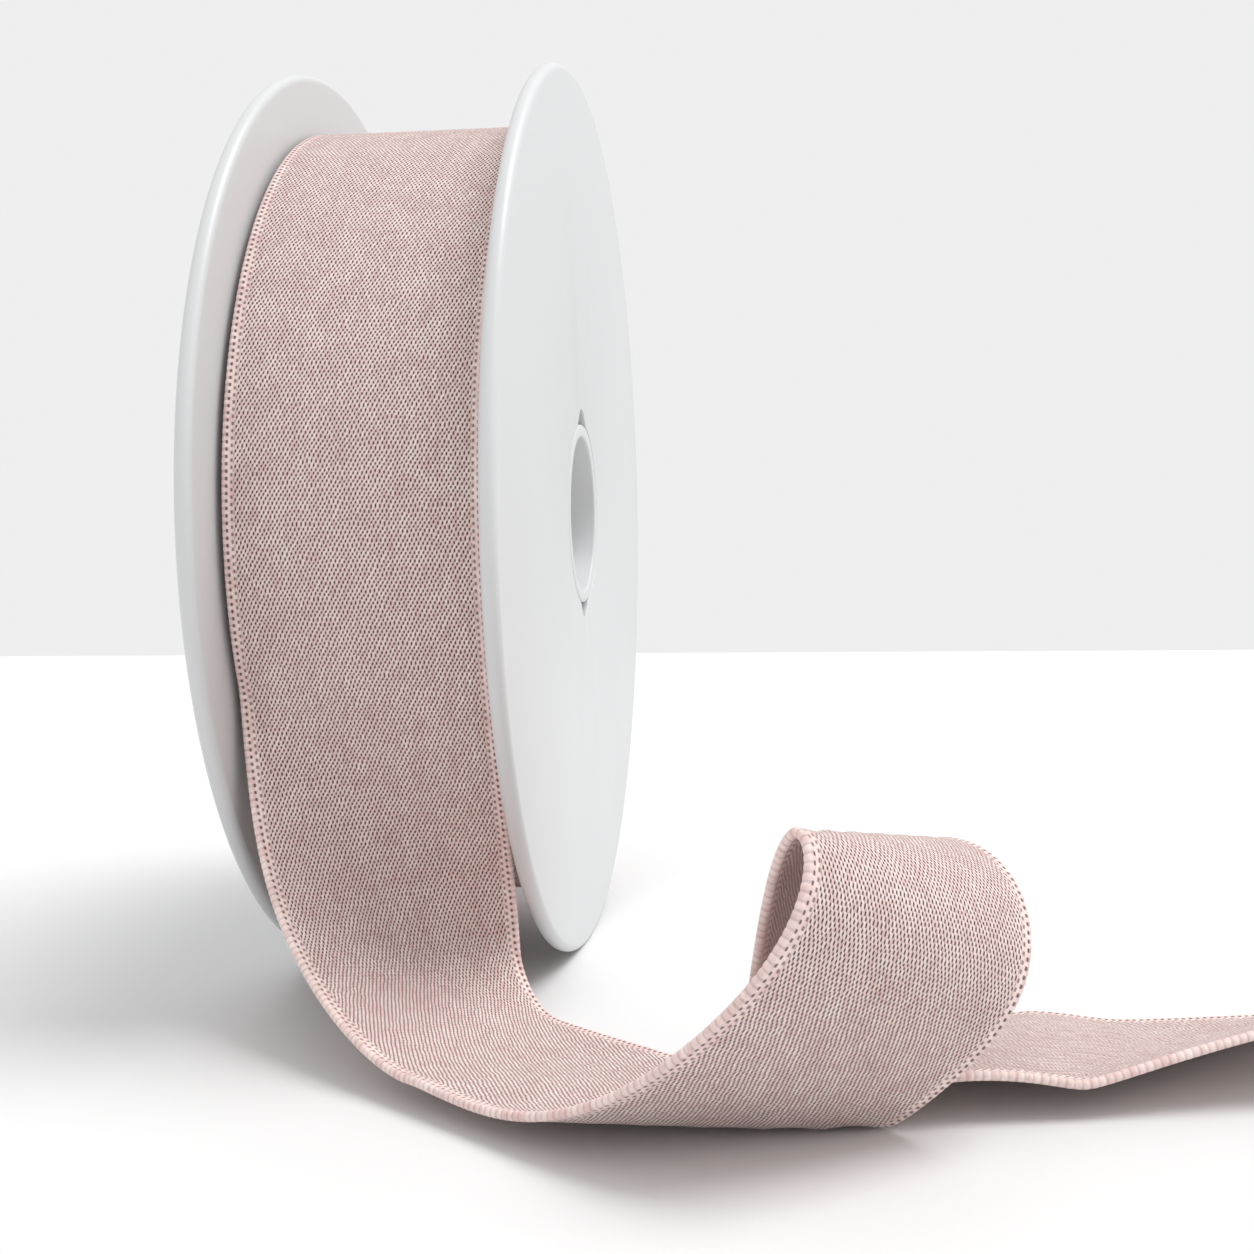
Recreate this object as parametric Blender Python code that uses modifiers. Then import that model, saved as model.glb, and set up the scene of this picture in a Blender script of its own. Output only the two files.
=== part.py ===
"""Roll of woven elastic tape on a two-flange plastic spool, standing on its rims.

The spool's axis runs along X. The tape comes off the front of the roll, sweeps down to
the ground, turns over in one loose loop and ends in a short tail. Metres, +Z up, with the
origin at the bottom centre of the whole object.
"""

import math

import bmesh
import bpy
import numpy as np
from mathutils import Vector

OBJECT_NAME = "roll_of_elastic"

# Tape
TAPE_WIDTH = 0.040
TAPE_THICK = 0.0013
LOOSE_LENGTH = 0.312

# Spool
FLANGE_RADIUS = 0.079
FLANGE_THICK = 0.0028
FLANGE_GAP = 0.042
RIM_ROUND = 0.0012
FLAT_SPOT_DEPTH = 0.00025
BORE_RADIUS = 0.0140
CORE_RADIUS = 0.0162
HUB_HOLE_RADIUS = 0.0165
NOTCH_WIDTH = 0.0090
NOTCH_HEIGHT = 0.0024

# Roll
ROLL_RADIUS = 0.0685  # to the middle of the outermost turn's thickness
LEAVING_ANGLE = 0.252  # radians below the horizontal front, where the tape leaves the roll
GAP = 0.0003  # left between pieces that touch

# The loose end, as the bend (1/m, positive towards the tape's outer face) and the slant of
# the fold lines (tangent of their angle from square) at stations along its middle line.
STATION_STEP = 0.015
LOOSE_END = (
    # bend, slant
    (-8, 0.75),  # leaves the roll
    (46, 1.25),  # turns forward
    (46, 0.50),
    (16, 0.25),
    (35, -0.45),
    (-3, 0.30),
    (-18, 1.05),  # lies along the ground
    (53, 0.65),  # rises
    (18, -0.10),
    (8, 0.15),
    (107, -0.10),  # over the top of the loop
    (87, 0.45),
    (29, 1.25),
    (-24, 0.50),  # eases
    (160, 0.40),  # folds back down
    (-23, 0.95),
    (-41, 0.20),  # down behind
    (54, 0.70),
    (-6, 1.45),  # tail
    (-9, 0.75),
    (4, 0.10),  # off to the side
)
GROUND_EASE = 0.0006  # how softly the tape flattens where it meets the ground
ROLL_EASE = 0.0002  # the same where it leaves the roll
GROUND_PRESS = 0.0008  # how far the free curve would dip into the ground there
MIDDLE_LINE_STEP = 0.0005
LENGTH_CELLS = 100
WIDTH_CELLS = 8

TURN_STEPS = 96
ROLL_STEPS = 120
CORE_STEPS = 64
ARC_STEPS = 5


def clear_scene():
    for item in list(bpy.data.objects):
        bpy.data.objects.remove(item, do_unlink=True)


def new_collection(name):
    made = bpy.data.collections.new(name)
    bpy.context.scene.collection.children.link(made)
    return made


def plastic_or_cloth(name, color, roughness):
    """A Principled material with this colour and roughness."""
    material = bpy.data.materials.new(name)
    material.use_nodes = True
    shader = material.node_tree.nodes["Principled BSDF"]
    shader.inputs["Base Color"].default_value = (*color, 1.0)
    shader.inputs["Roughness"].default_value = roughness
    shader.inputs["Metallic"].default_value = 0.0
    return material


def new_object(name, data, collection, material=None):
    made = bpy.data.objects.new(name, data)
    collection.objects.link(made)
    if material:
        data.materials.append(material)
    return made


def turned(name, profile, steps, collection, material=None):
    """A ring turned about its own Z axis from a closed profile of (radius, height)."""
    mesh = bpy.data.meshes.new(name)
    shape = bmesh.new()
    corners = [shape.verts.new((radius, 0.0, height)) for radius, height in profile]
    for first, second in zip(corners, corners[1:] + corners[:1]):
        shape.edges.new((first, second))
    shape.to_mesh(mesh)
    shape.free()
    made = new_object(name, mesh, collection, material)
    screw = made.modifiers.new("turn", "SCREW")
    screw.axis = "Z"
    screw.steps = steps
    screw.render_steps = steps
    screw.use_smooth_shade = True
    screw.use_merge_vertices = False
    return made


def lay_along_x(thing, x):
    """Turns a ring made about Z so that its axis lies along X at this x."""
    thing.rotation_euler = (0.0, math.radians(90.0), 0.0)
    thing.location = (x, 0.0, 0.0)


def arc(center, radius, start, end, steps):
    """Points of an arc, as (radius from the axis, height), from start to end in radians."""
    angles = [start + (end - start) * i / steps for i in range(steps + 1)]
    return [
        (center[0] + radius * math.cos(a), center[1] + radius * math.sin(a)) for a in angles
    ]


def flange_profile():
    """A flat disc's section, outer side running down, with its rim rounded."""
    half = FLANGE_THICK / 2
    inset = FLANGE_RADIUS - RIM_ROUND
    upper = arc((inset, half - RIM_ROUND), RIM_ROUND, math.pi / 2, 0.0, ARC_STEPS)
    lower = arc((inset, RIM_ROUND - half), RIM_ROUND, 0.0, -math.pi / 2, ARC_STEPS)
    return [(HUB_HOLE_RADIUS, half)] + upper + lower + [(HUB_HOLE_RADIUS, -half)]


def tube_profile(inner, outer, length):
    half = length / 2
    return [(inner, half), (outer, half), (outer, -half), (inner, -half)]


def notch_cutter(name, side, collection):
    """A rounded wedge beside the hub hole, above it (side 1) or below it (side -1)."""
    deep = FLANGE_THICK * 4
    root = side * (HUB_HOLE_RADIUS - NOTCH_HEIGHT)
    tip = side * (HUB_HOLE_RADIUS + NOTCH_HEIGHT)
    outline = [
        (-NOTCH_WIDTH / 2, root),
        (NOTCH_WIDTH / 2, root),
        (NOTCH_WIDTH / 8, tip),
        (-NOTCH_WIDTH / 8, tip),
    ]
    mesh = bpy.data.meshes.new(name)
    shape = bmesh.new()
    face = shape.faces.new([shape.verts.new((-deep / 2, y, z)) for y, z in outline])
    pushed = bmesh.ops.extrude_face_region(shape, geom=[face])["geom"]
    moved = [item for item in pushed if isinstance(item, bmesh.types.BMVert)]
    bmesh.ops.translate(shape, verts=moved, vec=(deep, 0.0, 0.0))
    bmesh.ops.recalc_face_normals(shape, faces=shape.faces)
    shape.to_mesh(mesh)
    shape.free()
    return hidden_cutter(new_object(name, mesh, collection))


def ground_cutter(collection):
    """A block whose top face is the plane that trims the rims' flat spots."""
    mesh = bpy.data.meshes.new("ground_cutter")
    shape = bmesh.new()
    bmesh.ops.create_cube(shape, size=1.0)
    size = Vector((4 * FLANGE_GAP, 4 * FLANGE_GAP, FLANGE_RADIUS / 4))
    bmesh.ops.scale(shape, verts=shape.verts, vec=size)
    top = ground_height()
    bmesh.ops.translate(shape, verts=shape.verts, vec=(0.0, 0.0, top - size.z / 2))
    shape.to_mesh(mesh)
    shape.free()
    return hidden_cutter(new_object("ground_cutter", mesh, collection))


def hidden_cutter(thing):
    thing.hide_render = True
    thing.display_type = "WIRE"
    return thing


def cut(thing, cutter):
    difference = thing.modifiers.new(cutter.name, "BOOLEAN")
    difference.operation = "DIFFERENCE"
    difference.solver = "EXACT"
    difference.object = cutter


def ground_height():
    """The plane that the spool stands on, measured from its axis."""
    return FLAT_SPOT_DEPTH - FLANGE_RADIUS


def build_flange(name, side, parts, cutters, material):
    """One flange, on the left (side -1) or the right (side 1) of the tape."""
    flange = turned(name, flange_profile(), TURN_STEPS, parts, material)
    lay_along_x(flange, side * (FLANGE_GAP + FLANGE_THICK) / 2)
    for end, where in ((1, "top"), (-1, "bottom")):
        notch = notch_cutter(f"{name}_notch_{where}", end, cutters)
        notch.location.x = flange.location.x
        cut(flange, notch)
    return flange


def build_core(parts, material):
    """The hub tube, flush with the flanges' outer faces."""
    length = FLANGE_GAP + 2 * FLANGE_THICK
    profile = tube_profile(BORE_RADIUS, CORE_RADIUS, length)
    core = turned("core", profile, CORE_STEPS, parts, material)
    lay_along_x(core, 0.0)
    return core


def on_roll(angle, radius):
    """A point of the roll's side view, at this angle below the horizontal front."""
    return -radius * math.cos(angle), -radius * math.sin(angle)


def roll_radius(angle):
    """The wound form's outer radius: it falls by one turn of tape over a whole turn."""
    outer = ROLL_RADIUS + TAPE_THICK / 2
    behind = (LEAVING_ANGLE - angle) / (2 * math.pi)
    return outer - (TAPE_THICK + GAP) * behind


def add_outline(curve, points):
    spline = curve.splines.new("POLY")
    spline.points.add(len(points) - 1)
    for point, (x, y) in zip(spline.points, points):
        point.co = (x, y, 0.0, 1.0)
    spline.use_cyclic_u = True


def build_roll(parts, material):
    """The wound tape in one solid, with the step that its last turn makes."""
    curve = bpy.data.curves.new("roll", "CURVE")
    curve.dimensions = "2D"
    curve.fill_mode = "BOTH"
    curve.extrude = TAPE_WIDTH / 2
    start = LEAVING_ANGLE - 2 * math.pi
    angles = [start + 2 * math.pi * i / ROLL_STEPS for i in range(ROLL_STEPS + 1)]
    add_outline(curve, [on_roll(a, roll_radius(a)) for a in angles])
    add_outline(curve, [on_roll(a, CORE_RADIUS + GAP) for a in angles[:-1]])
    roll = new_object("roll", curve, parts, material)
    # The outline's own X and Y become the world's Y and Z.
    roll.rotation_euler = (math.radians(90.0), 0.0, math.radians(90.0))
    return roll


def spline_values(stations, values, before):
    """A smooth cubic B-spline over equally spaced values, with one value before the first."""
    padded = np.concatenate([np.full(3, before), values, np.full(3, values[-1])])
    place = np.clip(stations / STATION_STEP + 2, 1.0, len(padded) - 3 - 1e-9)
    low = np.floor(place).astype(int)
    t = place - low
    return (
        (1 - t) ** 3 * padded[low - 1]
        + (3 * t**3 - 6 * t**2 + 4) * padded[low]
        + (-3 * t**3 + 3 * t**2 + 3 * t + 1) * padded[low + 1]
        + t**3 * padded[low + 2]
    ) / 6


def middle_line():
    """The loose end's middle line: stations, points, directions along and across, slants."""
    reach = LOOSE_LENGTH + TAPE_WIDTH
    stations = np.arange(-TAPE_WIDTH, reach, MIDDLE_LINE_STEP)
    table = np.array(LOOSE_END)
    bends = spline_values(stations, table[:, 0], -1.0 / ROLL_RADIUS)
    slants = spline_values(stations, table[:, 1], 0.0)
    begin = LEAVING_ANGLE + stations[0] / ROLL_RADIUS
    y, z = on_roll(begin, ROLL_RADIUS)
    point = np.array([0.0, y, z])
    frame = np.array(
        [
            [0.0, math.sin(begin), -math.cos(begin)],
            [1.0, 0.0, 0.0],
            [0.0, -math.cos(begin), -math.sin(begin)],
        ]
    )
    points, along, across = [], [], []
    for bend, slant in zip(bends, slants):
        points.append(point)
        along.append(frame[0])
        across.append(frame[1])
        twist = bend * slant
        turn = np.array([[0.0, 0.0, bend], [0.0, 0.0, -twist], [-bend, twist, 0.0]])
        turn *= MIDDLE_LINE_STEP
        following = (np.eye(3) + turn + turn @ turn / 2) @ frame
        point = point + MIDDLE_LINE_STEP * (frame[0] + following[0]) / 2
        frame = following
    return stations, np.array(points), np.array(along), np.array(across), slants


def tape_points(line, lengths, side):
    """Points of the tape at these lengths along it and this distance from its middle."""
    stations, points, along, across, slants = line
    laid = points + side * (across + slants[:, None] * along)
    where = np.interp(lengths, stations + side * slants, stations)
    return np.stack([np.interp(where, stations, laid[:, i]) for i in range(3)], axis=1)


def held_above(values, floor, ease):
    """The values, with those under this floor brought up to it softly."""
    over = values - floor
    return floor + (over + np.sqrt(over**2 + ease**2)) / 2


def rest_on_roll(points):
    """Keeps the tape outside the turns that it is leaving."""
    radius = np.hypot(points[..., 1], points[..., 2])
    points[..., 1:] *= (held_above(radius, ROLL_RADIUS, ROLL_EASE) / radius)[..., None]
    return points


def rest_on_ground(points):
    """Flattens what would dip into the ground, so that the tape lies on it."""
    lowest = ground_height() + TAPE_THICK / 2
    points[..., 2] = held_above(points[..., 2], lowest, GROUND_EASE)
    return points


def build_loose_end(parts, material):
    """The sheet that leaves the roll, made by pushing its starting edge along the tape."""
    line = middle_line()
    lengths = np.linspace(GAP, LOOSE_LENGTH, LENGTH_CELLS + 1)
    sides = np.linspace(-TAPE_WIDTH / 2, TAPE_WIDTH / 2, WIDTH_CELLS + 1)
    grid = np.stack([tape_points(line, lengths, side) for side in sides], axis=1)
    grid[..., 2] -= GROUND_PRESS * np.clip(lengths / (4 * STATION_STEP), 0.0, 1.0)[:, None]
    grid = rest_on_ground(rest_on_roll(grid))
    mesh = bpy.data.meshes.new("loose_end")
    shape = bmesh.new()
    row = [shape.verts.new(point) for point in grid[0]]
    edges = [shape.edges.new(pair) for pair in zip(row, row[1:])]
    for places in grid[1:]:
        pushed = bmesh.ops.extrude_edge_only(shape, edges=edges)["geom"]
        edges = [item for item in pushed if isinstance(item, bmesh.types.BMEdge)]
        row = ordered_row(edges, row)
        for vertex, place in zip(row, places):
            vertex.co = place
    bmesh.ops.recalc_face_normals(shape, faces=shape.faces)
    shape.to_mesh(mesh)
    shape.free()
    mesh.shade_smooth()
    sheet = new_object("loose_end", mesh, parts, material)
    thicken = sheet.modifiers.new("thickness", "SOLIDIFY")
    thicken.thickness = TAPE_THICK
    thicken.offset = 0.0
    thicken.use_even_offset = True
    return sheet


def ordered_row(edges, previous):
    """The pushed edges' vertices, in the order of the row that they were pushed from."""
    fresh = {vertex for edge in edges for vertex in edge.verts}
    ordered = []
    for vertex in previous:
        neighbours = [edge.other_vert(vertex) for edge in vertex.link_edges]
        ordered.append(next(other for other in neighbours if other in fresh))
    return ordered


def stand_on_origin(things):
    """Hangs the pieces on an empty placed so that the whole's bottom centre is the origin."""
    bpy.context.view_layer.update()
    graph = bpy.context.evaluated_depsgraph_get()
    corners = []
    for thing in things:
        evaluated = thing.evaluated_get(graph)
        mesh = evaluated.to_mesh()
        corners += [evaluated.matrix_world @ vertex.co for vertex in mesh.vertices]
        evaluated.to_mesh_clear()
    low = Vector([min(corner[i] for corner in corners) for i in range(3)])
    high = Vector([max(corner[i] for corner in corners) for i in range(3)])
    holder = bpy.data.objects.new(OBJECT_NAME, None)
    bpy.context.scene.collection.objects.link(holder)
    for thing in bpy.data.objects:
        if thing is not holder:
            thing.parent = holder
    holder.location = (-(low.x + high.x) / 2, -(low.y + high.y) / 2, -low.z)


def main():
    clear_scene()
    parts = new_collection(OBJECT_NAME)
    cutters = new_collection("cutters")
    plastic = plastic_or_cloth("white_plastic", (0.86, 0.87, 0.87), 0.45)
    hub_plastic = plastic_or_cloth("hub_plastic", (0.83, 0.84, 0.84), 0.45)
    wound = plastic_or_cloth("wound_elastic", (0.62, 0.47, 0.45), 0.85)
    woven = plastic_or_cloth("woven_elastic", (0.66, 0.51, 0.49), 0.85)
    flanges = [
        build_flange("flange_left", -1, parts, cutters, plastic),
        build_flange("flange_right", 1, parts, cutters, plastic.copy()),
    ]
    ground = ground_cutter(cutters)
    for flange in flanges:
        cut(flange, ground)
    pieces = [build_core(parts, hub_plastic), build_roll(parts, wound)]
    stand_on_origin(flanges + pieces + [build_loose_end(parts, woven)])


main()
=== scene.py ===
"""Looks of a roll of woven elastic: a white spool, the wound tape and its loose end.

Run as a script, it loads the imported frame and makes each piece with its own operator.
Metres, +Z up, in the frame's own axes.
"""

import math

import bmesh
import bpy
import numpy as np
from bpy.props import FloatProperty, FloatVectorProperty, IntProperty, PointerProperty
from mathutils import Matrix, Vector


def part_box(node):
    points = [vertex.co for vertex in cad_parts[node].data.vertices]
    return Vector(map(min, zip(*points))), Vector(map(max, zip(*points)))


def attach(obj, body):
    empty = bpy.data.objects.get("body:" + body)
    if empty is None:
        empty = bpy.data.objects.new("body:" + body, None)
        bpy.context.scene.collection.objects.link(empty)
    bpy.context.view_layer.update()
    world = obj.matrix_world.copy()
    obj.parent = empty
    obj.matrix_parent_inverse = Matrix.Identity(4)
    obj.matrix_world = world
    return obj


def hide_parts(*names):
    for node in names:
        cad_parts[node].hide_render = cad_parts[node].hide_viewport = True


bl_info = {
    "name": "Roll of elastic",
    "version": (1, 0, 0),
    "blender": (4, 5, 0),
    "location": "View3D > Sidebar > Elastic",
    "description": "Makes a spool of woven elastic with its loose end",
    "category": "Object",
}

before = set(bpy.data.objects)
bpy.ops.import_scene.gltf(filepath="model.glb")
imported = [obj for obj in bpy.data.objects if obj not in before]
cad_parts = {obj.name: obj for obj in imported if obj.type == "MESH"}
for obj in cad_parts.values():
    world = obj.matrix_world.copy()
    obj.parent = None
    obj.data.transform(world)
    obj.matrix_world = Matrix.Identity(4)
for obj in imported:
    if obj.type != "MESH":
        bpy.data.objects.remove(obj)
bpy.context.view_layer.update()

CORE_LOW, CORE_HIGH = (Vector(corner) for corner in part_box("core"))
FLANGE_LOW, FLANGE_HIGH = (Vector(corner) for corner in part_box("flange_right"))
AXIS = (CORE_LOW + CORE_HIGH) / 2

SPOOL_LENGTH = CORE_HIGH.x - CORE_LOW.x
FLANGE_THICK = FLANGE_HIGH.x - FLANGE_LOW.x
FLANGE_RADIUS = (FLANGE_HIGH.y - FLANGE_LOW.y) / 2
CORE_RADIUS = (CORE_HIGH.y - CORE_LOW.y) / 2

# The loose end, as the bend (1/m, positive towards the tape's outer face) and the slant of
# the fold lines (tangent of their angle from square) at stations along its middle line.
STATION_STEP = 0.015
LOOSE_END = (
    # bend, slant
    (-8, 0.75),  # leaves the roll
    (46, 1.25),  # turns forward
    (46, 0.50),
    (16, 0.25),
    (35, -0.45),
    (-3, 0.30),
    (-18, 1.05),  # lies along the ground
    (53, 0.65),  # rises
    (18, -0.10),
    (8, 0.15),
    (107, -0.10),  # over the top of the loop
    (87, 0.45),
    (29, 1.25),
    (-24, 0.50),  # eases
    (160, 0.40),  # folds back down
    (-23, 0.95),
    (-41, 0.20),  # down behind
    (54, 0.70),
    (-6, 1.45),  # tail
    (-9, 0.75),
    (4, 0.10),  # off to the side
)
LOOSE_LENGTH = 0.312
ROLL_RADIUS = 0.0685  # to the middle of the outermost turn's thickness
LEAVING_ANGLE = 0.252  # radians below the horizontal front, where the tape leaves the roll
TURN_PITCH = 0.0016  # from one wound turn to the next
HIDDEN_START = 0.3  # radians of the outermost turn's start that lie under its end
GROUND_EASE = 0.0006
ROLL_EASE = 0.0002
GROUND_PRESS = 0.0008
MIDDLE_LINE_STEP = 0.0005

TAPE_WIDTH = 0.040
WALL = 0.0003  # left between the wound turns and the hub

# The tape's section: places across its middle, then from there to its edge.
SECTION_MIDDLE = (-0.0185, -0.0125, -0.0063, 0.0, 0.0063, 0.0125, 0.0185)
SECTION_EDGE = (
    # distance in from the edge, half thickness as a share, how much the ribs move it
    (0.00110, 0.84, 0.00),
    (0.00075, 0.92, 0.35),
    (0.00045, 0.98, 0.90),
    (0.00012, 0.66, 1.00),
    (0.00000, 0.00, 1.00),
)
MIDDLE_SHARE = 0.86  # the middle's thickness as a share of the edge's
ROWS_PER_RIB = 4
TURN_EDGE = ((0.08, 0.0005), (0.45, 0.0), (0.84, 0.0005))  # share of a turn, distance in
TURN_STEPS = 144

# Rows of holes beside the ribs: distance in from the edge, half width, which half of a rib's
# pitch they lie on, and how deep they show, as dents and as painted shade.
HOLE_ROWS = ((0.00085, 0.00036, -1.0, 1.0), (0.00165, 0.00034, 1.0, 0.85))

FLOOR_REACH = 3.0  # in front of the spool and to each side
FLOOR_DROP = 0.0001
LIGHT_FROM = (0.42, 0.06, 0.90)

# Camera, from the spool's axis
CAMERA_OFFSET = Vector((0.07645, -0.33351, 0.00206))
CAMERA_YAW, CAMERA_PITCH, CAMERA_ROLL = -0.1341, 0.0680, 0.0163
CAMERA_LENS, CAMERA_SENSOR = 52.85, 36.0


class ElasticTape(bpy.types.PropertyGroup):
    width: FloatProperty(
        name="Width", description="Tape's width", default=TAPE_WIDTH, unit="LENGTH", precision=4
    )
    thickness: FloatProperty(
        name="Thickness", description="At its ribbed edges", default=0.0013, unit="LENGTH", precision=4
    )
    rib_pitch: FloatProperty(
        name="Rib pitch", description="From rib to rib along an edge",
        default=0.0011, unit="LENGTH", precision=5
    )
    rib_depth: FloatProperty(
        name="Rib depth", description="How far ribs stand out",
        default=0.00011, unit="LENGTH", precision=5
    )
    hole_across: FloatProperty(
        name="Hole spacing across", description="Across the tape",
        default=0.00067, unit="LENGTH", precision=5
    )
    hole_along: FloatProperty(
        name="Hole spacing along", description="Two rows' spacing",
        default=0.00124, unit="LENGTH", precision=5
    )
    yarn: FloatVectorProperty(
        name="Yarn", description="Main yarn", subtype="COLOR", default=(0.72, 0.505, 0.48), min=0, max=1
    )
    pale_yarn: FloatVectorProperty(
        name="Pale yarn", description="Lighter yarn",
        subtype="COLOR", default=(0.94, 0.80, 0.755), min=0, max=1
    )
    # Painted shade: the colour that the pinholes, the edge's holes, the grooves and the rib valleys are
    # darkened towards.
    hole: FloatVectorProperty(
        name="Pinhole_Shade", description="Between yarns",
        subtype="COLOR", default=(0.055, 0.026, 0.024), min=0, max=1
    )


class ElasticSpool(bpy.types.PropertyGroup):
    rim_round: FloatProperty(
        name="Rim rounding", description="Radius of the rim's edges",
        default=0.00125, unit="LENGTH", precision=5
    )
    bore_radius: FloatProperty(
        name="Bore radius", description="Inside of the hub", default=0.0140, unit="LENGTH", precision=4
    )
    hub_hole_radius: FloatProperty(
        name="Hub hole radius", description="Flange's hole", default=0.0165, unit="LENGTH", precision=4
    )
    notch_width: FloatProperty(
        name="Notch width", description="Notches beside the hub",
        default=0.0090, unit="LENGTH", precision=4
    )
    notch_height: FloatProperty(
        name="Notch height", description="Notches beside the hub",
        default=0.0024, unit="LENGTH", precision=4
    )
    steps: IntProperty(name="Steps", description="Segments round a flange", default=192, min=24)
    plastic: FloatVectorProperty(
        name="Plastic", description="Moulded plastic",
        subtype="COLOR", default=(0.65, 0.66, 0.665), min=0, max=1
    )


class ElasticStage(bpy.types.PropertyGroup):
    floor: FloatVectorProperty(
        name="Floor", description="Floor's colour",
        subtype="COLOR", default=(0.76, 0.76, 0.76), min=0, max=1
    )
    floor_depth: FloatProperty(
        name="Floor behind", description="From the spool back", default=0.64, unit="LENGTH"
    )
    sky: FloatProperty(name="Surround", description="Brightness all round", default=0.86, min=0)
    key: FloatProperty(name="Main light", description="Strength", default=1.9, min=0)
    softness: FloatProperty(
        name="Softness", description="Main light's width", subtype="ANGLE", default=math.radians(34.0)
    )


# ---------------------------------------------------------------- nodes


def add_math(tree, operation, first, second=None, third=None, clamp=False):
    """A Math node over sockets or numbers, and its result."""
    node = tree.nodes.new("ShaderNodeMath")
    node.operation = operation
    node.use_clamp = clamp
    for socket, value in zip(node.inputs, (first, second, third)):
        if value is None:
            continue
        if isinstance(value, (int, float)):
            socket.default_value = value
        else:
            tree.links.new(value, socket)
    return node.outputs[0]


def add_steps(tree, value, low, high, start=0.0, end=1.0):
    """The value brought smoothly from start at low to end at high."""
    node = tree.nodes.new("ShaderNodeMapRange")
    node.interpolation_type = "SMOOTHSTEP"
    tree.links.new(value, node.inputs["Value"])
    node.inputs["From Min"].default_value = low
    node.inputs["From Max"].default_value = high
    node.inputs["To Min"].default_value = start
    node.inputs["To Max"].default_value = end
    return node.outputs["Result"]


def add_noise(tree, vector, scale, detail=2.0):
    """A soft noise between 0 and 1."""
    node = tree.nodes.new("ShaderNodeTexNoise")
    node.inputs["Scale"].default_value = scale
    node.inputs["Detail"].default_value = detail
    tree.links.new(vector, node.inputs["Vector"])
    return node.outputs["Fac"]


def add_mix(tree, factor, first, second):
    """A colour mix, over sockets or (r, g, b) values."""
    node = tree.nodes.new("ShaderNodeMix")
    node.data_type = "RGBA"
    for socket, value in ((node.inputs[0], factor), (node.inputs[6], first), (node.inputs[7], second)):
        if isinstance(value, (int, float)):
            socket.default_value = value
        elif isinstance(value, bpy.types.NodeSocket):
            tree.links.new(value, socket)
        else:
            socket.default_value = (*value, 1.0)
    return node.outputs[2]


def new_group(name, inputs, outputs):
    """A shader node group with these sockets, and its input and output nodes."""
    tree = bpy.data.node_groups.new(name, "ShaderNodeTree")
    for label, kind, default in inputs:
        socket = tree.interface.new_socket(label, in_out="INPUT", socket_type=kind)
        if default is not None:
            socket.default_value = default
    for label, kind in outputs:
        tree.interface.new_socket(label, in_out="OUTPUT", socket_type=kind)
    return tree, tree.nodes.new("NodeGroupInput"), tree.nodes.new("NodeGroupOutput")


def split_flat(tree, vector):
    """Lengths along and across the tape from its flat coordinates."""
    node = tree.nodes.new("ShaderNodeSeparateXYZ")
    tree.links.new(vector, node.inputs[0])
    return node.outputs[0], node.outputs[1]


def weave_group():
    """Crossing diagonal yarns with pinholes between them, each crossing's own tone, and masks for
    painted shade in the pinholes and the grooves.
    """
    inputs = [
        ("Flat", "NodeSocketVector", None),
        ("Across", "NodeSocketFloat", 0.00067),
        ("Along", "NodeSocketFloat", 0.00124),
    ]
    outputs = [
        ("Height", "NodeSocketFloat"),
        ("Pinhole_Shade", "NodeSocketFloat"),
        ("Groove_Shade", "NodeSocketFloat"),
        ("Tone", "NodeSocketFloat"),
    ]
    tree, given, result = new_group("pinhole_weave", inputs, outputs)
    along, across = split_flat(tree, given.outputs["Flat"])
    wander = add_noise(tree, given.outputs["Flat"], 420.0, 1.0)
    wander = add_math(tree, "MULTIPLY_ADD", wander, 0.9, -0.45)
    p = add_math(tree, "DIVIDE", across, given.outputs["Across"])
    q = add_math(tree, "DIVIDE", along, given.outputs["Along"])
    q = add_math(tree, "ADD", q, wander)
    rising = add_math(tree, "ADD", p, q)
    falling = add_math(tree, "SUBTRACT", p, q)
    waves = []
    for line in (rising, falling):
        turned = add_math(tree, "MULTIPLY", line, 2 * math.pi)
        waves.append(add_math(tree, "COSINE", turned))
    both = add_math(tree, "ADD", waves[0], waves[1])
    pinhole = add_steps(tree, both, 0.30, 1.20)
    # Painted shade mask along the grooves beside the top yarns.
    tree.links.new(add_steps(tree, waves[0], 0.0, 1.0), result.inputs["Groove_Shade"])
    # The yarn that runs along one diagonal lies on top.
    top_yarn = add_math(tree, "MULTIPLY_ADD", waves[0], -0.42, 0.0)
    height = add_math(tree, "MULTIPLY_ADD", waves[1], -0.16, top_yarn)
    height = add_math(tree, "MULTIPLY_ADD", pinhole, -0.55, height)
    tree.links.new(height, result.inputs["Height"])
    tree.links.new(pinhole, result.inputs["Pinhole_Shade"])
    cell = tree.nodes.new("ShaderNodeCombineXYZ")
    for socket, line in zip(cell.inputs, (rising, falling)):
        tree.links.new(add_math(tree, "FLOOR", line), socket)
    chance = tree.nodes.new("ShaderNodeTexWhiteNoise")
    chance.noise_dimensions = "2D"
    tree.links.new(cell.outputs[0], chance.inputs["Vector"])
    tree.links.new(chance.outputs["Value"], result.inputs["Tone"])
    return tree


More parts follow.
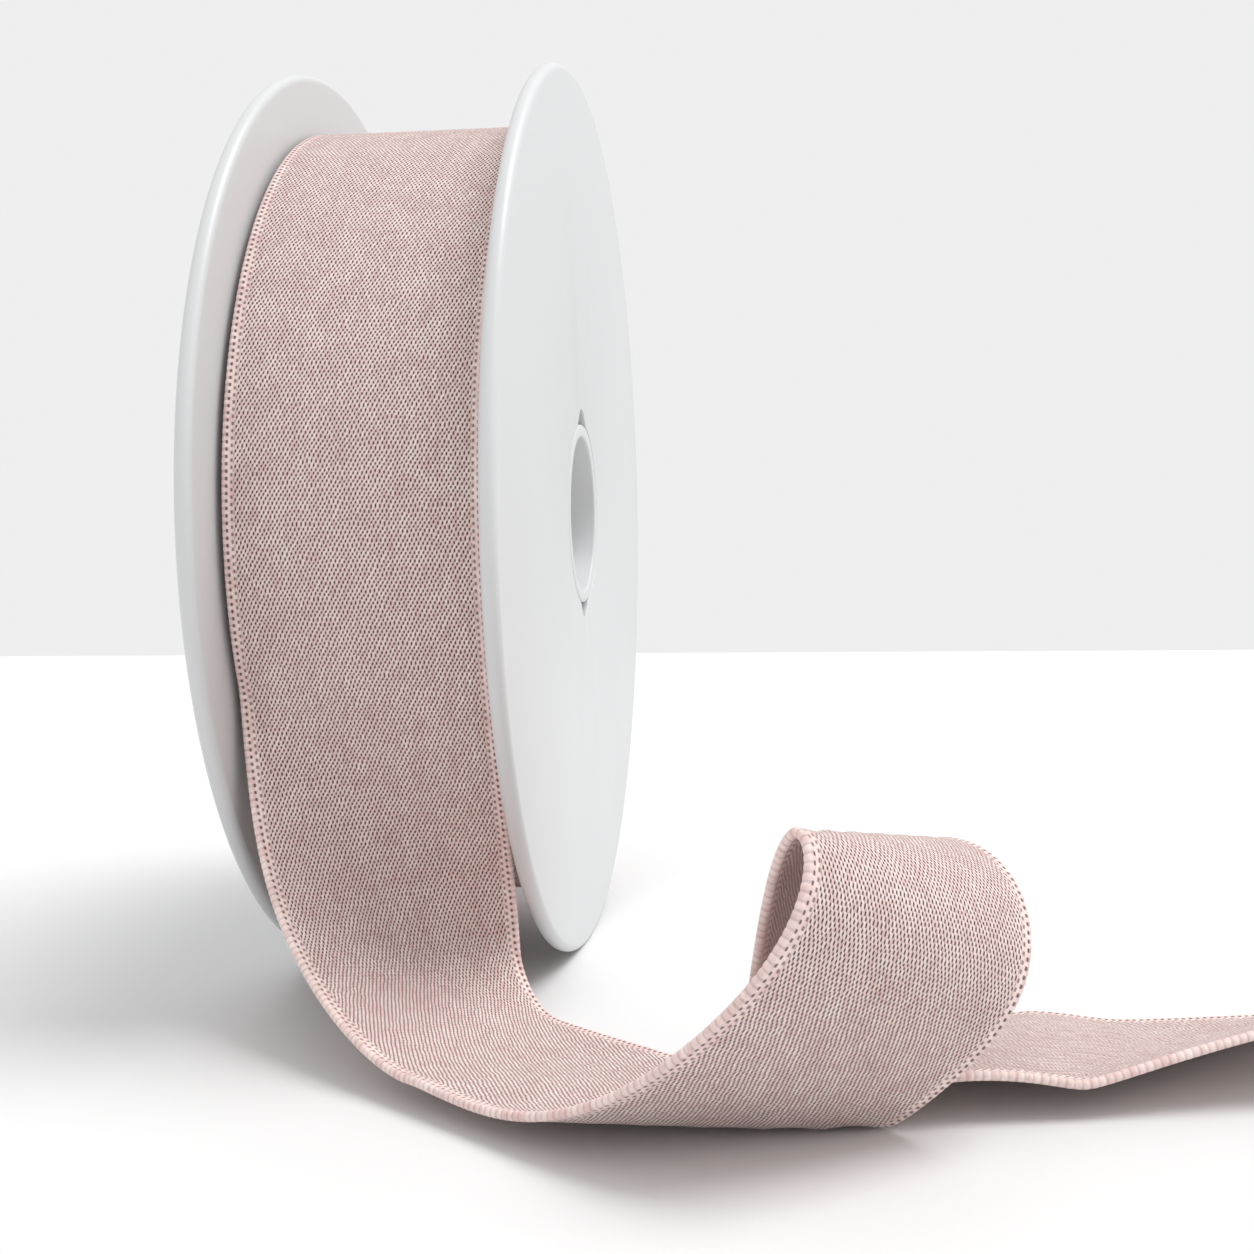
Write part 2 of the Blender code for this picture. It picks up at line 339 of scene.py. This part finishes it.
def selvedge_group():
    """The ribbed edge: its band, its ribs and the two rows of holes inside it."""
    inputs = [
        ("Flat", "NodeSocketVector", None),
        ("Half Width", "NodeSocketFloat", 0.020),
        ("Pitch", "NodeSocketFloat", 0.0011),
    ]
    outputs = [
        ("Band", "NodeSocketFloat"),
        ("Ribs", "NodeSocketFloat"),
        ("Holes", "NodeSocketFloat"),
    ]
    tree, given, result = new_group("ribbed_selvedge", inputs, outputs)
    along, across = split_flat(tree, given.outputs["Flat"])
    away = add_math(tree, "ABSOLUTE", across)
    inward = add_math(tree, "SUBTRACT", given.outputs["Half Width"], away)
    turns = add_math(tree, "DIVIDE", along, given.outputs["Pitch"])
    turned = add_math(tree, "MULTIPLY", turns, 2 * math.pi)
    wave = add_math(tree, "COSINE", turned)
    band = add_steps(tree, inward, 0.0018, 0.0021, 1.0, 0.0)
    tree.links.new(band, result.inputs["Band"])
    near = add_steps(tree, inward, 0.0006, 0.0008, 1.0, 0.0)
    ribs = add_math(tree, "MULTIPLY", wave, near)
    tree.links.new(ribs, result.inputs["Ribs"])
    rows = []
    for middle, spread, phase, most in HOLE_ROWS:
        off = add_math(tree, "SUBTRACT", inward, middle)
        off = add_math(tree, "ABSOLUTE", off)
        across_mask = add_steps(tree, off, 0.0, spread, 1.0, 0.0)
        facing = add_math(tree, "MULTIPLY", wave, phase)
        along_mask = add_steps(tree, facing, -0.35, 0.6, 0.0, most)
        rows.append(add_math(tree, "MULTIPLY", across_mask, along_mask))
    holes = add_math(tree, "MAXIMUM", rows[0], rows[1])
    tree.links.new(holes, result.inputs["Holes"])
    return tree


def grain_group():
    """Fine moulded grain and soft broad waves, for plastic."""
    inputs = [("Place", "NodeSocketVector", None)]
    outputs = [("Height", "NodeSocketFloat"), ("Tone", "NodeSocketFloat")]
    tree, given, result = new_group("moulded_grain", inputs, outputs)
    fine = add_noise(tree, given.outputs["Place"], 2600.0, 2.0)
    broad = add_noise(tree, given.outputs["Place"], 38.0, 2.0)
    tree.links.new(add_math(tree, "MULTIPLY_ADD", broad, 0.6, fine), result.inputs["Height"])
    tree.links.new(broad, result.inputs["Tone"])
    return tree


def place_group(tree, group, links, values=()):
    """The group placed in a material, with these sockets linked and these values set."""
    node = tree.nodes.new("ShaderNodeGroup")
    node.node_tree = group
    for label, socket in links:
        tree.links.new(socket, node.inputs[label])
    for label, value in values:
        node.inputs[label].default_value = value
    return node


def new_material(name):
    material = bpy.data.materials.new(name)
    material.use_nodes = True
    tree = material.node_tree
    return material, tree, tree.nodes["Principled BSDF"]


def elastic_material(tape):
    """Woven elastic, on the tape's flat coordinates."""
    material, tree, shader = new_material("woven_elastic")
    where = tree.nodes.new("ShaderNodeUVMap")
    where.uv_map = "flat"
    flat = where.outputs["UV"]
    weave = place_group(
        tree,
        weave_group(),
        [("Flat", flat)],
        [("Across", tape.hole_across), ("Along", tape.hole_along)],
    )
    edge = place_group(
        tree,
        selvedge_group(),
        [("Flat", flat)],
        [("Half Width", tape.width / 2), ("Pitch", tape.rib_pitch)],
    )
    inside = add_math(tree, "SUBTRACT", 1.0, edge.outputs["Band"])
    pinhole = add_math(tree, "MULTIPLY", weave.outputs["Pinhole_Shade"], inside)
    holes = add_math(tree, "MAXIMUM", pinhole, edge.outputs["Holes"])
    # Yarn tones: each crossing's own, broad clouds, and warp streaks along the tape.
    streaked = tree.nodes.new("ShaderNodeMapping")
    streaked.inputs["Scale"].default_value = (30.0, 1500.0, 1.0)
    tree.links.new(flat, streaked.inputs["Vector"])
    streak = add_noise(tree, streaked.outputs["Vector"], 1.0, 2.0)
    cloud = add_noise(tree, flat, 190.0, 3.0)
    tone = add_math(tree, "MULTIPLY_ADD", weave.outputs["Tone"], 0.55, -0.25)
    tone = add_math(tree, "MULTIPLY_ADD", streak, 0.55, tone)
    tone = add_math(tree, "MULTIPLY_ADD", cloud, 0.75, tone)
    tone = add_math(tree, "ADD", tone, -0.25, clamp=True)
    yarn = add_mix(tree, tone, tuple(tape.yarn), tuple(tape.pale_yarn))
    # Painted shade in the valleys between the edge's ribs, towards the pinhole shade colour.
    shade = add_steps(tree, edge.outputs["Ribs"], -1.0, -0.2, 0.22, 0.0)
    shade = add_math(tree, "MULTIPLY", shade, edge.outputs["Band"])
    yarn = add_mix(tree, shade, yarn, tuple(tape.hole))
    # Painted shade along the grooves beside the top yarns.
    groove_shade = add_math(tree, "MULTIPLY", weave.outputs["Groove_Shade"], inside)
    groove_shade = add_math(tree, "MULTIPLY", groove_shade, 0.34)
    # Painted shade: the pinholes and the edge's rows of holes are darkened towards the pinhole shade
    # colour.
    depth = add_math(tree, "MULTIPLY", holes, 0.95)
    depth = add_math(tree, "MAXIMUM", depth, groove_shade)
    tree.links.new(add_mix(tree, depth, yarn, tuple(tape.hole)), shader.inputs["Base Color"])
    height = add_math(tree, "MULTIPLY", weave.outputs["Height"], inside)
    height = add_math(tree, "MULTIPLY_ADD", edge.outputs["Ribs"], 0.12, height)
    height = add_math(tree, "MULTIPLY_ADD", edge.outputs["Holes"], -0.8, height)
    fuzz = add_noise(tree, flat, 5200.0, 2.0)
    height = add_math(tree, "MULTIPLY_ADD", fuzz, 0.25, height)
    bump = tree.nodes.new("ShaderNodeBump")
    bump.inputs["Strength"].default_value = 0.75
    bump.inputs["Distance"].default_value = 0.00016
    tree.links.new(height, bump.inputs["Height"])
    tree.links.new(bump.outputs["Normal"], shader.inputs["Normal"])
    shader.inputs["Roughness"].default_value = 0.78
    shader.inputs["Specular IOR Level"].default_value = 0.25
    shader.inputs["Sheen Weight"].default_value = 0.18
    shader.inputs["Sheen Roughness"].default_value = 0.45
    return material


def plastic_material(spool):
    """White satin plastic with a fine moulded grain."""
    material, tree, shader = new_material("moulded_plastic")
    where = tree.nodes.new("ShaderNodeTexCoord").outputs["Object"]
    grain = place_group(tree, grain_group(), [("Place", where)])
    plain = tuple(spool.plastic)
    duller = tuple(0.96 * value for value in plain)
    tree.links.new(add_mix(tree, grain.outputs["Tone"], duller, plain), shader.inputs["Base Color"])
    tree.links.new(
        add_steps(tree, grain.outputs["Tone"], 0.3, 0.7, 0.36, 0.44), shader.inputs["Roughness"]
    )
    bump = tree.nodes.new("ShaderNodeBump")
    bump.inputs["Strength"].default_value = 0.12
    bump.inputs["Distance"].default_value = 0.00005
    tree.links.new(grain.outputs["Height"], bump.inputs["Height"])
    tree.links.new(bump.outputs["Normal"], shader.inputs["Normal"])
    return material


# ---------------------------------------------------------------- shapes


def add_piece(name, mesh, material, slot, *nodes):
    """An object at the origin that rides on the root and stands for these nodes."""
    piece = bpy.data.objects.new(name, mesh)
    bpy.context.scene.collection.objects.link(piece)
    mesh.materials.append(material)
    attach(piece, "root")
    if nodes:
        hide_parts(*nodes)
    return piece


def shared_material(name, make):
    return bpy.data.materials.get(name) or make()


def spun(profile, steps):
    """A closed ring about the spool's axis from a closed outline of (x, radius)."""
    shape = bmesh.new()
    corners = [shape.verts.new((x, AXIS.y, AXIS.z + radius)) for x, radius in profile]
    for first, second in zip(corners, corners[1:] + corners[:1]):
        shape.edges.new((first, second))
    bmesh.ops.spin(
        shape,
        geom=shape.verts[:] + shape.edges[:],
        cent=AXIS,
        axis=(1.0, 0.0, 0.0),
        angle=2 * math.pi,
        steps=steps,
        use_merge=True,
    )
    bmesh.ops.remove_doubles(shape, verts=shape.verts, dist=1e-6)
    bmesh.ops.recalc_face_normals(shape, faces=shape.faces)
    return shape


def finished_mesh(name, shape, sharp=math.radians(40.0)):
    """A smooth-shaded mesh of the shape, with its edges sharp above this angle."""
    mesh = bpy.data.meshes.new(name)
    shape.to_mesh(mesh)
    shape.free()
    mesh.shade_smooth()
    if sharp:
        mesh.set_sharp_from_angle(angle=sharp)
    return mesh


def rounded(corner, radius, start, steps=6):
    """A quarter round of this radius about a centre, from this angle on, as (x, radius)."""
    x, r = corner
    angles = [start + math.pi / 2 * i / steps for i in range(steps + 1)]
    return [(x + radius * math.cos(a), r + radius * math.sin(a)) for a in angles]


def rest_on_floor(shape):
    """Flattens what reaches below the floor, which gives the rims their flat spots."""
    for vertex in shape.verts:
        vertex.co.z = max(vertex.co.z, 0.0)


def make_flange(name, node, spool, material):
    """A flange with its rounded rim, its hub hole and the hole's two notches."""
    low, high = (Vector(corner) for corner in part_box(node))
    size, edge = spool.rim_round, 0.00025
    hole, rim = spool.hub_hole_radius, FLANGE_RADIUS - size
    profile = rounded((high.x - size, rim), size, 0.0)
    profile += rounded((low.x + size, rim), size, math.pi / 2)
    profile += rounded((low.x + edge, hole + edge), edge, math.pi, 3)
    profile += rounded((high.x - edge, hole + edge), edge, 3 * math.pi / 2, 3)
    shape = spun(profile, spool.steps)
    for vertex in shape.verts:
        away = Vector((0.0, vertex.co.y - AXIS.y, vertex.co.z - AXIS.z))
        if away.length > hole + 2 * edge:
            continue
        inset = 1.0 - abs(away.y) / (spool.notch_width / 2)
        vertex.co += away.normalized() * spool.notch_height * min(max(inset, 0.0) * 1.4, 1.0)
    rest_on_floor(shape)
    return add_piece(name, finished_mesh(name, shape), material, "spool", node)


def make_core(spool, material):
    """The hub tube, whose ends show in the flanges' holes."""
    edge = 0.0004
    inner, outer = spool.bore_radius, CORE_RADIUS
    low, high = CORE_LOW.x, CORE_HIGH.x
    profile = rounded((high - edge, outer - edge), edge, 0.0, 3)
    profile += rounded((low + edge, outer - edge), edge, math.pi / 2, 3)
    profile += rounded((low + edge, inner + edge), edge, math.pi, 3)
    profile += rounded((high - edge, inner + edge), edge, 3 * math.pi / 2, 3)
    shape = spun(profile, spool.steps)
    return add_piece("hub_tube", finished_mesh("hub_tube", shape), material, "spool", "core")


def store_flat(mesh, places):
    """Writes the map of the tape's flat coordinates, from one place per vertex."""
    layer = mesh.uv_layers.new(name="flat")
    corners = np.empty(len(mesh.loops), dtype=np.int32)
    mesh.loops.foreach_get("vertex_index", corners)
    layer.data.foreach_set("uv", places[corners].astype(np.float32).ravel())


def make_wound_turns(tape, material):
    """The turns under the outermost one, with each turn's rounded edge at both sides."""
    outer = ROLL_RADIUS - TURN_PITCH * (1 + HIDDEN_START / (2 * math.pi)) - tape.thickness / 2
    inner = CORE_RADIUS + WALL
    turns = int((outer - inner) / TURN_PITCH)
    half = tape.width / 2
    radii = [outer - TURN_PITCH * (i + share) for i in range(turns) for share, _ in TURN_EDGE]
    sides = [half - inset for _ in range(turns) for _, inset in TURN_EDGE]
    profile = [(AXIS.x + side, radius) for side, radius in zip(sides, radii)]
    profile += [(AXIS.x - side, radius) for side, radius in zip(sides[::-1], radii[::-1])]
    shape = spun(profile, TURN_STEPS)
    mesh = finished_mesh("wound_turns", shape, sharp=None)
    places = np.empty(len(mesh.vertices) * 3)
    mesh.vertices.foreach_get("co", places)
    places = places.reshape(-1, 3) - np.array(AXIS)
    radius = np.hypot(places[:, 1], places[:, 2])
    angle = np.arctan2(places[:, 2], places[:, 1])
    store_flat(mesh, np.stack([angle * radius, places[:, 0]], axis=1))
    return add_piece("wound_turns", mesh, material, "elastic", "roll")


def spline_values(stations, values, before):
    """A smooth cubic B-spline over equally spaced values, with one value before the first."""
    padded = np.concatenate([np.full(3, before), values, np.full(3, values[-1])])
    place = np.clip(stations / STATION_STEP + 2, 1.0, len(padded) - 3 - 1e-9)
    low = np.floor(place).astype(int)
    t = place - low
    return (
        (1 - t) ** 3 * padded[low - 1]
        + (3 * t**3 - 6 * t**2 + 4) * padded[low]
        + (-3 * t**3 + 3 * t**2 + 3 * t + 1) * padded[low + 1]
        + t**3 * padded[low + 2]
    ) / 6


def middle_line(width):
    """The loose end's middle line: stations, points, directions across and along, slants."""
    stations = np.arange(-width, LOOSE_LENGTH + width, MIDDLE_LINE_STEP)
    table = np.array(LOOSE_END)
    bends = spline_values(stations, table[:, 0], -1.0 / ROLL_RADIUS)
    slants = spline_values(stations, table[:, 1], 0.0)
    begin = LEAVING_ANGLE + stations[0] / ROLL_RADIUS
    point = np.array([0.0, -ROLL_RADIUS * math.cos(begin), -ROLL_RADIUS * math.sin(begin)])
    heading = np.array(
        [
            [0.0, math.sin(begin), -math.cos(begin)],
            [1.0, 0.0, 0.0],
            [0.0, -math.cos(begin), -math.sin(begin)],
        ]
    )
    points, along, across = [], [], []
    for bend, slant in zip(bends, slants):
        points.append(point)
        along.append(heading[0])
        across.append(heading[1])
        twist = bend * slant
        turn = np.array([[0.0, 0.0, bend], [0.0, 0.0, -twist], [-bend, twist, 0.0]])
        turn *= MIDDLE_LINE_STEP
        following = (np.eye(3) + turn + turn @ turn / 2) @ heading
        point = point + MIDDLE_LINE_STEP * (heading[0] + following[0]) / 2
        heading = following
    return stations, np.array(points), np.array(along), np.array(across), slants


def tape_points(line, lengths, side):
    """Points of the tape at these lengths along it and this distance from its middle."""
    stations, points, along, across, slants = line
    laid = points + side * (across + slants[:, None] * along)
    where = np.interp(lengths, stations + side * slants, stations)
    loose = np.stack([np.interp(where, stations, laid[:, i]) for i in range(3)], axis=1)
    angle = LEAVING_ANGLE + lengths / ROLL_RADIUS
    wound = np.stack(
        [np.full_like(angle, side), -ROLL_RADIUS * np.cos(angle), -ROLL_RADIUS * np.sin(angle)],
        axis=1,
    )
    return np.where((lengths < -STATION_STEP * 2)[:, None], wound, loose)


def held_above(values, floor, ease):
    """The values, with those under this floor brought up to it softly."""
    over = values - floor
    return floor + (over + np.sqrt(over**2 + ease**2)) / 2


def laid_tape(lengths, sides, thickness):
    """The tape's middle surface, from the spool's axis, as a grid over lengths and sides."""
    line = middle_line(TAPE_WIDTH)
    grid = np.stack([tape_points(line, lengths, side) for side in sides], axis=1)
    grid[..., 2] -= GROUND_PRESS * np.clip(lengths / (4 * STATION_STEP), 0.0, 1.0)[:, None]
    radius = np.hypot(grid[..., 1], grid[..., 2])
    grid[..., 1:] *= (held_above(radius, ROLL_RADIUS, ROLL_EASE) / radius)[..., None]
    grid[..., 2] = held_above(grid[..., 2], thickness / 2 - AXIS.z, GROUND_EASE)
    wound = np.clip(-lengths / ROLL_RADIUS, 0.0, None) / (2 * math.pi)
    grid[..., 1:] *= (1.0 - wound * TURN_PITCH / ROLL_RADIUS)[:, None, None]
    return grid


def unit(vectors):
    return vectors / np.linalg.norm(vectors, axis=-1, keepdims=True)


def tape_section(half):
    """The section's outline: distance from the middle, height share and rib share."""
    top = [(side, MIDDLE_SHARE, 0.0) for side in SECTION_MIDDLE]
    right = [(half - inset, share, ribs) for inset, share, ribs in SECTION_EDGE]
    left = [(-side, share, ribs) for side, share, ribs in right]
    upper = left[::-1] + top + right
    under = [(side, -share, ribs) for side, share, ribs in upper[-2:0:-1]]
    return np.array(upper + under + upper[:1])


def make_tape(tape, material):
    """The outermost turn and the loose end in one strip, with its ribbed edges."""
    start = -(2 * math.pi + HIDDEN_START) * ROLL_RADIUS
    rows = int((LOOSE_LENGTH - start) / tape.rib_pitch * ROWS_PER_RIB)
    lengths = LOOSE_LENGTH - np.arange(rows, -1, -1) * tape.rib_pitch / ROWS_PER_RIB
    section = tape_section(tape.width / 2)
    sides = np.unique(np.round(section[:, 0], 7))
    surface = laid_tape(lengths, sides, tape.thickness)
    across = unit(np.gradient(surface, sides, axis=1))
    along = np.gradient(surface, lengths, axis=0)
    outward = unit(np.cross(along, across))
    column = np.searchsorted(sides, np.round(section[:, 0], 7))
    ribs = np.abs(np.cos(math.pi * lengths / tape.rib_pitch)) ** 0.8 - 0.5
    raised = tape.rib_depth * ribs[:, None] * section[:, 2]
    height = section[:, 1] * tape.thickness / 2
    height = height + np.sign(section[:, 1]) * raised * 0.35
    spread = np.sign(section[:, 0]) * raised
    grid = surface[:, column] + outward[:, column] * height[..., None]
    grid += across[:, column] * spread[..., None]
    grid += np.array(AXIS)
    grid[..., 2] = np.maximum(grid[..., 2], 0.0)
    return strip_piece(grid, lengths, section[:, 0], material)


def strip_piece(grid, lengths, sides, material):
    """A closed strip from its grid of points: rows along it, and columns round its section."""
    rows, columns = grid.shape[0] - 1, grid.shape[1] - 1
    shape = bmesh.new()
    bmesh.ops.create_grid(shape, x_segments=rows, y_segments=columns, size=1.0)
    flat = shape.verts.layers.float_vector.new("flat_place")
    for vertex in shape.verts:
        row = round((vertex.co.x + 1.0) / 2 * rows)
        column = round((vertex.co.y + 1.0) / 2 * columns)
        vertex.co = grid[row, column]
        vertex[flat] = (lengths[row], sides[column], 0.0)
    bmesh.ops.remove_doubles(shape, verts=shape.verts, dist=1e-7)
    ends = [edge for edge in shape.edges if edge.is_boundary]
    bmesh.ops.holes_fill(shape, edges=ends, sides=0)
    bmesh.ops.recalc_face_normals(shape, faces=shape.faces)
    mesh = finished_mesh("elastic_tape", shape, sharp=math.radians(75.0))
    places = np.empty(len(mesh.vertices) * 3)
    mesh.attributes["flat_place"].data.foreach_get("vector", places)
    store_flat(mesh, places.reshape(-1, 3)[:, :2])
    piece = add_piece("elastic_tape", mesh, material, "elastic", "loose_end")
    return piece


# ---------------------------------------------------------------- operators


class ELASTIC_OT_stage(bpy.types.Operator):
    """Makes the floor, the lights and the camera"""

    bl_idname = "elastic.stage"
    bl_label = "Stage"

    def execute(self, context):
        scene, stage = context.scene, context.scene.elastic_stage
        scene.view_settings.view_transform = "Standard"
        scene.view_settings.look = "None"
        shape = bmesh.new()
        bmesh.ops.create_grid(shape, x_segments=1, y_segments=1, size=1.0)
        half_depth = (FLOOR_REACH + stage.floor_depth) / 2
        bmesh.ops.scale(shape, verts=shape.verts, vec=(FLOOR_REACH, half_depth, 1.0))
        middle = AXIS.y + (stage.floor_depth - FLOOR_REACH) / 2
        bmesh.ops.translate(shape, verts=shape.verts, vec=(AXIS.x, middle, -FLOOR_DROP))
        mesh = bpy.data.meshes.new("floor")
        shape.to_mesh(mesh)
        shape.free()
        floor = bpy.data.objects.new("floor", mesh)
        scene.collection.objects.link(floor)
        material, tree, shader = new_material("pale_floor")
        shader.inputs["Base Color"].default_value = (*stage.floor, 1.0)
        shader.inputs["Roughness"].default_value = 0.6
        shader.inputs["Specular IOR Level"].default_value = 0.2
        mesh.materials.append(material)
        self.add_surround(scene, stage.sky)
        self.add_lamp("main_light", stage.key, stage.softness, LIGHT_FROM)
        self.add_camera(scene)
        return {"FINISHED"}

    def add_surround(self, scene, strength):
        world = bpy.data.worlds.new("surround")
        world.use_nodes = True
        background = world.node_tree.nodes["Background"]
        background.inputs["Color"].default_value = (1.0, 1.0, 1.0, 1.0)
        background.inputs["Strength"].default_value = strength
        scene.world = world

    def add_lamp(self, name, strength, softness, offset):
        light = bpy.data.lights.new(name, "SUN")
        light.energy = strength
        light.angle = softness
        lamp = bpy.data.objects.new(name, light)
        lamp.location = AXIS + Vector(offset)
        lamp.rotation_euler = (-Vector(offset)).to_track_quat("-Z", "Y").to_euler()
        bpy.context.scene.collection.objects.link(lamp)

    def add_camera(self, scene):
        yaw, pitch, roll = CAMERA_YAW, CAMERA_PITCH, CAMERA_ROLL
        level = Vector((math.sin(yaw), math.cos(yaw), 0.0))
        ahead = level * math.cos(pitch) - Vector((0.0, 0.0, math.sin(pitch)))
        right = Vector((math.cos(yaw), -math.sin(yaw), 0.0))
        down = ahead.cross(right)
        image_right = right * math.cos(roll) + down * math.sin(roll)
        image_down = down * math.cos(roll) - right * math.sin(roll)
        turned = Matrix((image_right, -image_down, -ahead)).transposed().to_4x4()
        data = bpy.data.cameras.new("camera")
        data.lens, data.sensor_width = CAMERA_LENS, CAMERA_SENSOR
        data.clip_start, data.clip_end = 0.01, 20.0
        camera = bpy.data.objects.new("camera", data)
        camera.matrix_world = Matrix.Translation(AXIS + CAMERA_OFFSET) @ turned
        scene.collection.objects.link(camera)
        scene.camera = camera


class ELASTIC_OT_spool(bpy.types.Operator):
    """Makes the spool's two flanges and its hub tube"""

    bl_idname = "elastic.spool"
    bl_label = "Spool"

    def execute(self, context):
        spool = context.scene.elastic_spool
        plastic = plastic_material(spool)
        make_flange("spool_flange_left", "flange_left", spool, plastic)
        make_flange("spool_flange_right", "flange_right", spool, plastic)
        make_core(spool, plastic)
        return {"FINISHED"}


class ELASTIC_OT_wound_turns(bpy.types.Operator):
    """Makes the wound turns under the outermost one"""

    bl_idname = "elastic.wound_turns"
    bl_label = "Wound turns"

    def execute(self, context):
        tape = context.scene.elastic_tape
        woven = shared_material("woven_elastic", lambda: elastic_material(tape))
        make_wound_turns(tape, woven)
        return {"FINISHED"}


class ELASTIC_OT_tape(bpy.types.Operator):
    """Makes the outermost turn and the loose end in one strip"""

    bl_idname = "elastic.tape"
    bl_label = "Outermost turn and loose end"

    def execute(self, context):
        tape = context.scene.elastic_tape
        woven = shared_material("woven_elastic", lambda: elastic_material(tape))
        make_tape(tape, woven)
        return {"FINISHED"}


class ELASTIC_PT_panel(bpy.types.Panel):
    """Lists the roll of elastic's pieces and sizes"""

    bl_idname = "ELASTIC_PT_panel"
    bl_label = "Roll of elastic"
    bl_space_type = "VIEW_3D"
    bl_region_type = "UI"
    bl_category = "Elastic"

    def draw(self, context):
        for operator in OPERATORS:
            self.layout.operator(operator.bl_idname)
        for name in SETTINGS:
            box = self.layout.box()
            settings = getattr(context.scene, name)
            for label in type(settings).__annotations__:
                box.prop(settings, label)


SETTINGS = {
    "elastic_tape": ElasticTape,
    "elastic_spool": ElasticSpool,
    "elastic_stage": ElasticStage,
}
OPERATORS = (ELASTIC_OT_stage, ELASTIC_OT_spool, ELASTIC_OT_wound_turns, ELASTIC_OT_tape)
CLASSES = (*SETTINGS.values(), *OPERATORS, ELASTIC_PT_panel)


def register():
    for item in CLASSES:
        bpy.utils.register_class(item)
    for name, group in SETTINGS.items():
        setattr(bpy.types.Scene, name, PointerProperty(type=group))


def unregister():
    for name in SETTINGS:
        delattr(bpy.types.Scene, name)
    for item in reversed(CLASSES):
        bpy.utils.unregister_class(item)


def main():
    register()
    bpy.ops.elastic.stage()
    bpy.ops.elastic.spool()
    bpy.ops.elastic.wound_turns()
    bpy.ops.elastic.tape()


if __name__ == "__main__":
    main()
